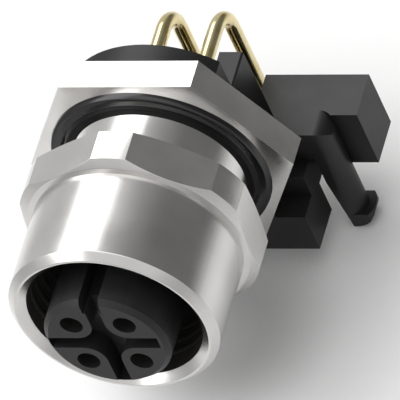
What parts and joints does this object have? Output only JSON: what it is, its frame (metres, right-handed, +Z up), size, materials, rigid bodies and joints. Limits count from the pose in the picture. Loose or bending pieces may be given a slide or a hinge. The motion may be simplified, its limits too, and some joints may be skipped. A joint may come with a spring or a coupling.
{
  "type": "angled socket connector",
  "caption": "Right-angle circular female connector: threaded metal mouth, hexagon collar and flange, panel seal, keyed insert, and a black carrier with snap pegs and bent solder tails.",
  "frame": {"origin": "on the circuit board's surface, in the middle of the rectangle of solder tails", "axes": "+Z is up from the board, -Y is the side the plug comes from, along the connector's axis, and +X is to the right seen from the plug's side"},
  "size_m": [0.0212, 0.027, 0.0215],
  "materials": {
    "nickel_plate": "satin nickel plate over turned brass",
    "black_rubber": "moulded, slightly glossy",
    "insert_plastic": "matte, very dark grey",
    "carrier_plastic": "matte, black",
    "gold_plate": "pale gold plate over copper alloy"
  },
  "bodies": {
    "base": {"hex_flange": "nickel_plate", "panel_seal": "black_rubber", "insert_seal": "black_rubber", "contact_insert": "insert_plastic", "angle_carrier": "carrier_plastic", "contact_upper_left": "gold_plate", "contact_upper_right": "gold_plate", "contact_lower_left": "gold_plate", "contact_lower_right": "gold_plate"},
    "shell": {"front_shell": "nickel_plate"}
  },
  "joints": [
    {"name": "shell_screw", "type": "hinge", "parent": "base", "child": "shell", "pos_m": [0, -0.01047, 0.0092], "axis": [0, -1, 0], "range_deg": [0, 450]}
  ]
}
